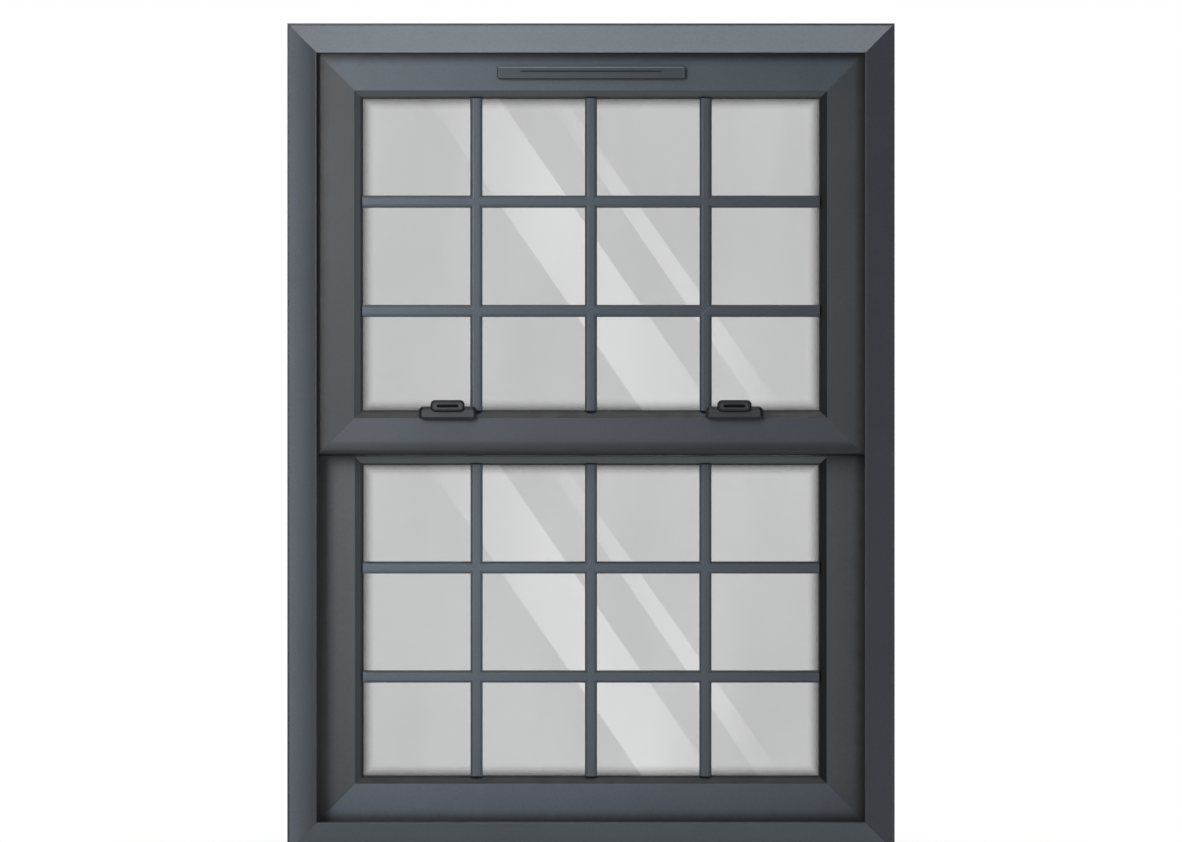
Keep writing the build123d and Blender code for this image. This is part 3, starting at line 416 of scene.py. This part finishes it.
dress(["frame_head"], materials["head"])
dress(["frame_sill", "head_cover", "sill_cover"], materials["frame"])
dress(["frame_jamb_left"], materials["jamb_left"])
dress(["frame_jamb_right"], materials["jamb_right"])
dress(["corner_cleats"], materials["cleat"])
dress(["balance_caps"], materials["cap"])
dress(["stop_blocks"], materials["nylon"])
dress(["frame_piles"], materials["pile"])
for sash in ("upper", "lower"):
    dress([f"{sash}_bottom_rail"], materials["meeting_rail" if sash == "upper" else "lower_rail"])
    dress([f"{sash}_top_rail"], materials[f"{sash}_rail"])
    dress([f"{sash}_bead_top"], materials["bead" if sash == "upper" else "bead_back"])
    dress([f"{sash}_bead_left"], materials["bead"])
    dress([f"{sash}_bead_bottom"], materials["bead_low"])
    dress([f"{sash}_bead_right"], materials["bead_right"])
    dress([f"{sash}_front_bars", f"{sash}_rear_bars"], materials[f"{sash}_bar"])
    dress([f"{sash}_gaskets"], materials["gasket"])
    dress([f"{sash}_setting_blocks", f"{sash}_guides"], materials["nylon"])
    dress([f"{sash}_spacer"], materials["spacer"])
    dress([f"{sash}_interlock"], materials["inside"])
    dress([f"{sash}_balance_rods"], materials["spiral"])
    dress([f"{sash}_balance_tube_left", f"{sash}_balance_tube_right"], materials["tube"])
    glass = pane_glass(f"{sash}_pane_glass", (0.888, 0.889, 0.889, 1.0), 0.5, sights[sash])
    dress([f"{sash}_inner_pane", f"{sash}_outer_pane"], glass)
dress(["upper_left_stile"], materials["upper_stile_left"])
dress(["upper_right_stile"], materials["upper_stile_right"])
dress(["lower_left_stile"], materials["lower_stile_left"])
dress(["lower_right_stile"], materials["lower_stile_right"])
dress(["vent_base"], materials["vent_base"])
dress(["vent_flap"], materials["flap"])
dress(["vent_grille"], materials["vent"])
dress(["lock_base_left", "lock_base_right"], materials["lock"])
dress(["lock_slide_left", "lock_slide_right"], materials["grip"])
dress(["lock_bolt_left", "lock_bolt_right", "lock_keepers"], materials["steel"])

for name, piece in nodes.items():
    if "tube" in name:
        piece.data.shade_smooth()


# Pieces
def new_piece(name, points, faces, material, body, smooth=False):
    mesh = bpy.data.meshes.new(name)
    mesh.from_pydata(points, [], faces)
    mesh.update()
    mesh.materials.append(material)
    if smooth:
        mesh.shade_smooth()
    piece = bpy.data.objects.new(name, mesh)
    bpy.context.scene.collection.objects.link(piece)
    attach(piece, body)
    return piece


def twisted_strips(name, places, low, high, body):
    """Flat strips twisted along their length, as the rods of spiral balances are."""
    points, faces = [], []
    wide, thick, corner = 3.6 * MM, 0.85 * MM, 0.35 * MM  # half the width and thickness of a strip
    pitch, step = 46 * MM, 2 * MM
    section = [
        (-wide, -thick + corner), (-wide + corner, -thick), (wide - corner, -thick), (wide, -thick + corner),
        (wide, thick - corner), (wide - corner, thick), (-wide + corner, thick), (-wide, thick - corner),
    ]
    size = len(section)
    count = int((high - low) / step)
    for x, y in places:
        start = len(points)
        for level in range(count + 1):
            z = low + (high - low) * level / count
            angle = 2 * math.pi * (z - low) / pitch
            sine, cosine = math.sin(angle), math.cos(angle)
            points += [(x + u * cosine - v * sine, y + u * sine + v * cosine, z) for u, v in section]
        for level in range(count):
            for k in range(size):
                a = start + level * size + k
                b = start + level * size + (k + 1) % size
                faces.append((a, b, b + size, a + size))
        faces.append(tuple(start + k for k in reversed(range(size))))
        faces.append(tuple(start + count * size + k for k in range(size)))
    return new_piece(name, points, faces, materials["spiral"], body)


for sash, body in (("upper", "upper_sash"), ("lower", "lower_sash")):
    low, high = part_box(f"{sash}_balance_rods")
    radius = 4 * MM
    places = [(low[0] + radius, (low[1] + high[1]) / 2), (high[0] - radius, (low[1] + high[1]) / 2)]
    strips = twisted_strips(f"{sash}_spiral_rods", places, low[2], high[2], body)
    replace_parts(strips, f"{sash}_balance_rods")


def brushes(name, strips, body):
    """Pile seals: a woven back with rows of tufts. A strip is its start, its end, its width and its tuft
    vector; the width runs across strip and tufts."""
    pitch, thick = 1.7 * MM, 0.55 * MM
    points, faces = [], []
    for start, end, width, tuft in strips:
        start, end, tuft = Vector(start), Vector(end), Vector(tuft)
        along = (end - start).normalized()
        across = along.cross(tuft.normalized())
        back = tuft * 0.22
        first = len(points)
        for spot in (start, end):
            for side, rise in ((-1, 0), (1, 0), (1, 1), (-1, 1)):
                points.append(spot + across * side * width / 2 + back * rise)
        faces += [(first, first + 3, first + 2, first + 1), (first + 4, first + 5, first + 6, first + 7)]
        faces += [(first + k, first + (k + 1) % 4, first + 4 + (k + 1) % 4, first + 4 + k) for k in range(4)]
        for k in range(int((end - start).length / pitch)):
            for row in (-0.32, 0.0, 0.32):
                place = 1.0 * MM + (k + random.random() * 0.4) * pitch
                foot = start + along * place + across * row * width * 1.05
                length = 0.9 + 0.1 * random.random()
                tip = foot + tuft * length + along * random.uniform(-0.3, 0.3) * MM
                a = len(points)
                for angle in (0.3, 2.4, 4.5):
                    arm = along * math.cos(angle) + across * math.sin(angle)
                    points.append(foot + back * 0.5 + arm * thick)
                points.append(tip)
                faces += [(a, a + 1, a + 3), (a + 1, a + 2, a + 3), (a + 2, a, a + 3)]
    return new_piece(name, [tuple(p) for p in points], faces, materials["pile"], body)


pile_low, pile_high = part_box("frame_piles")
pile_wide, deep = 5 * MM, 2.7 * MM
pile_x = pile_high[0] - pile_wide / 2
front_pile, rear_pile = (pile_low[1], deep), (pile_high[1], -deep)
pile_strips = []
for x in (-pile_x, pile_x):
    for y, tuft in (front_pile, rear_pile):
        pile_strips.append(((x, y, OPENING[0]), (x, y, OPENING[1]), pile_wide, (0, tuft, 0)))
for (y, tuft), z in ((front_pile, pile_high[2] - pile_wide / 2), (rear_pile, pile_low[2] + pile_wide / 2)):
    pile_strips.append(((-LIP, y, z), (LIP, y, z), pile_wide, (0, tuft, 0)))
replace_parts(brushes("pile_brushes", pile_strips, "frame"), "frame_piles")


def screw(name, place, out, radius, body):
    """Domed cross-recess screw head on a surface, out being its outward direction."""
    rings = ((1.0, 0.0), (1.0, 0.18), (0.93, 0.36), (0.74, 0.5), (0.45, 0.58))
    crown = 0.6
    arm_half, arm_reach, recess = 0.13, 0.58, 0.3
    steps = 40
    points, faces = [], []
    for share, rise in rings:
        for k in range(steps):
            angle = 2 * math.pi * k / steps
            points.append((share * math.cos(angle), share * math.sin(angle), rise))
    points.append((0, 0, crown))
    last = (len(rings) - 1) * steps
    for start in range(0, last, steps):
        for k in range(steps):
            a, b = start + k, start + (k + 1) % steps
            faces.append((a, b, b + steps, a + steps))
    faces += [(last + k, last + (k + 1) % steps, len(points) - 1) for k in range(steps)]
    turn = Vector(out).to_track_quat("Z", "Y").to_matrix()
    placed = []
    for x, y, z in points:
        in_arm = min(abs(x), abs(y)) < arm_half and max(abs(x), abs(y)) < arm_reach and z > recess
        sunk = Vector((x, y, z - recess if in_arm else z)) * radius
        placed.append(tuple(Vector(place) + turn @ sunk))
    return new_piece(name, placed, faces, materials["steel"], body, smooth=True)


grille_low, grille_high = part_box("vent_grille")
for word, x in (("left", grille_low[0] + 6 * MM), ("right", grille_high[0] - 6 * MM)):
    place = (x, grille_high[1], (grille_low[2] + grille_high[2]) / 2)
    screw(f"grille_screw_{word}", place, (0, 1, 0), 2.6 * MM, "upper_sash")
keeper_low, keeper_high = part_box("lock_keepers")
for word, x in (("left", keeper_low[0] + 20 * MM), ("right", keeper_high[0] - 20 * MM)):
    for turn, side in (("a", -1), ("b", 1)):
        place = (x + side * 12 * MM, keeper_high[1] - 9 * MM, keeper_high[2])
        screw(f"keeper_screw_{word}_{turn}", place, (0, 0, 1), 2.8 * MM, "lower_sash")

for name in ("vent_flap", "lock_base_left", "lock_base_right", "lock_slide_left", "lock_slide_right"):
    soft = nodes[name].modifiers.new("soft_edges", "BEVEL")
    soft.width = 0.35 * MM
    soft.segments = 2
    soft.limit_method = "ANGLE"
    soft.angle_limit = math.radians(28)


# Stage, lights and camera
def ground(name, size):
    """Square on the floor, around the window."""
    half = size / 2
    mesh = bpy.data.meshes.new(name)
    corners = [(-half, -half, 0), (half, -half, 0), (half, half, 0), (-half, half, 0)]
    mesh.from_pydata(corners, [], [(0, 1, 2, 3)])
    made = bpy.data.objects.new(name, mesh)
    bpy.context.scene.collection.objects.link(made)
    return made


def light_path(tree, *names):
    """1 for rays of any of these kinds."""
    path = tree.nodes.new("ShaderNodeLightPath")
    total = path.outputs[names[0]]
    for name in names[1:]:
        top = tree.nodes.new("ShaderNodeMath")
        top.operation = "MAXIMUM"
        tree.links.new(total, top.inputs[0])
        tree.links.new(path.outputs[name], top.inputs[1])
        total = top.outputs[0]
    return total


floor = ground("studio_floor", 9.0)
paper = Tree("pale_floor", Roughness=0.9)
paper.finish(paper.shade((0.86, 0.86, 0.86, 1), paper.span(paper.noise(3.0, 3), 0.99, 1.01)))
glow = paper.node("ShaderNodeEmission", {"Color": (1, 1, 1, 1), "Strength": 1.0})
far = paper.node("ShaderNodeVectorMath", {0: paper.place}, operation="LENGTH").outputs["Value"]
bright = paper.span(far, 0.8, 1.0, 0.45, 0.95, smooth=True)
looked_at = light_path(paper.tree, "Is Camera Ray", "Is Glossy Ray", "Is Transmission Ray")
seen = paper.math("MULTIPLY", looked_at, bright)
mixed = paper.node("ShaderNodeMixShader", {0: seen, 1: paper.shader.outputs[0], 2: glow.outputs[0]})
paper.tree.links.new(mixed.outputs[0], paper.output.inputs["Surface"])
floor.data.materials.append(paper.material)

world = bpy.data.worlds.new("studio")
bpy.context.scene.world = world
world.use_nodes = True
tree = world.node_tree
links = tree.links


def world_node(kind, inputs, **settings):
    new = tree.nodes.new(kind)
    for key, value in settings.items():
        setattr(new, key, value)
    for socket, value in inputs.items():
        if isinstance(value, bpy.types.NodeSocket):
            links.new(value, new.inputs[socket])
        else:
            new.inputs[socket].default_value = value
    return new


# The room is brighter to the upper left, and white where a ray goes on behind the window
direction = tree.nodes.new("ShaderNodeTexCoord").outputs["Generated"]
bright_way = Vector((-0.5, -0.35, 0.79)).normalized()
toward = world_node(
    "ShaderNodeVectorMath", {0: direction, 1: bright_way}, operation="DOT_PRODUCT"
).outputs["Value"]
room = world_node(
    "ShaderNodeMapRange",
    {"Value": toward, "From Min": -1.0, "From Max": 1.0, "To Min": 0.03, "To Max": 0.34},
).outputs["Result"]
dim = tree.nodes["Background"]
dim.inputs["Color"].default_value = (0.96, 0.98, 1.0, 1)
links.new(room, dim.inputs["Strength"])
white = world_node("ShaderNodeBackground", {"Color": (1, 1, 1, 1), "Strength": 1.0})
depth_way = world_node("ShaderNodeSeparateXYZ", {0: direction}).outputs["Y"]
behind = world_node(
    "ShaderNodeMapRange",
    {"Value": depth_way, "From Min": -0.1, "From Max": 0.3, "To Min": 0.0, "To Max": 1.0},
).outputs["Result"]
mirrored = light_path(tree, "Is Glossy Ray")
glossy = world_node("ShaderNodeMath", {0: mirrored, 1: behind}, operation="MULTIPLY")
plain = light_path(tree, "Is Camera Ray", "Is Transmission Ray")
share = world_node("ShaderNodeMath", {0: plain, 1: glossy.outputs[0]}, operation="MAXIMUM")
both = world_node("ShaderNodeMixShader", {0: share.outputs[0], 1: dim.outputs[0], 2: white.outputs[0]})
links.new(both.outputs[0], tree.nodes["World Output"].inputs["Surface"])


def lamp(name, place, target, size, power, spread=180):
    data = bpy.data.lights.new(name, "AREA")
    data.shape = "RECTANGLE"
    data.size, data.size_y = size
    data.energy = power
    data.spread = math.radians(spread)
    made = bpy.data.objects.new(name, data)
    made.location = place
    made.rotation_euler = (Vector(target) - Vector(place)).to_track_quat("-Z", "Y").to_euler()
    bpy.context.scene.collection.objects.link(made)
    return made


lamp("key", (-1.0, -2.2, 1.45), (-0.42, 0, 1.05), (0.5, 1.6), 5.0, spread=62)
lamp("top", (0, -0.5, 3.3), (0, -0.06, 1.1), (2.0, 0.4), 14)
lamp("rear", (1.4, 3.2, 2.4), (0, 0, 0.6), (2.0, 2.0), 25)


def streak_card(name, top, bottom, centre, reach, peak):
    """A slanted strip light in front of the window that only shows as a reflection in the glass.
    top and bottom are its two ends as they show on the glass: left, right, height. It is brightest at x =
    centre, with a strength of peak, and dark from reach on."""
    grow = 1 + STREAK_AWAY / GLASS_DISTANCE
    columns = 24
    points, faces = [], []
    for left, right, level in (top, bottom):
        for k in range(columns + 1):
            x = left + (right - left) * k / columns
            points.append((x * grow, -STREAK_AWAY, CAMERA_HEIGHT + (level - CAMERA_HEIGHT) * grow))
    for k in range(columns):
        faces.append((k, k + 1, columns + 2 + k, columns + 1 + k))
    mesh = bpy.data.meshes.new(name)
    mesh.from_pydata(points, [], faces)
    card = bpy.data.objects.new(name, mesh)
    bpy.context.scene.collection.objects.link(card)
    card.visible_camera = False
    card.visible_diffuse = False
    card.visible_shadow = False
    card.visible_transmission = False
    film = Tree(name)
    film.tree.nodes.remove(film.shader)
    off_centre = film.math("ABSOLUTE", film.math("SUBTRACT", film.axis("X"), centre))
    power = film.span(off_centre, peak, 0.0, 0.0, reach, smooth=True)
    emission = film.node("ShaderNodeEmission", {"Color": (1, 1, 1, 1), "Strength": power})
    hole = film.node("ShaderNodeBsdfTransparent")
    added = film.node("ShaderNodeAddShader", {0: emission.outputs[0], 1: hole.outputs[0]})
    film.tree.links.new(added.outputs[0], film.output.inputs["Surface"])
    mesh.materials.append(film.material)


for sash in ("upper", "lower"):
    top, bottom = sights[sash][1] + 0.235, sights[sash][1] - 0.235
    streak_card(f"{sash}_wide_streak", (-0.246, -0.139, top), (0.078, 0.185, bottom), 0.0, 0.34, 1.7)
    streak_card(f"{sash}_thin_streak", (-0.069, -0.043, top), (0.251, 0.287, bottom), 0.13, 0.24, 1.4)

camera = bpy.data.cameras.new("camera")
camera.lens = 500
camera.sensor_width = 36
camera.clip_end = 200
shot = bpy.data.objects.new("camera", camera)
bpy.context.scene.collection.objects.link(shot)
shot.location = (0, -CAMERA_DISTANCE, CAMERA_HEIGHT)
shot.rotation_euler = (math.radians(90), 0, 0)
bpy.context.scene.camera = shot
bpy.context.scene.view_settings.view_transform = "Standard"
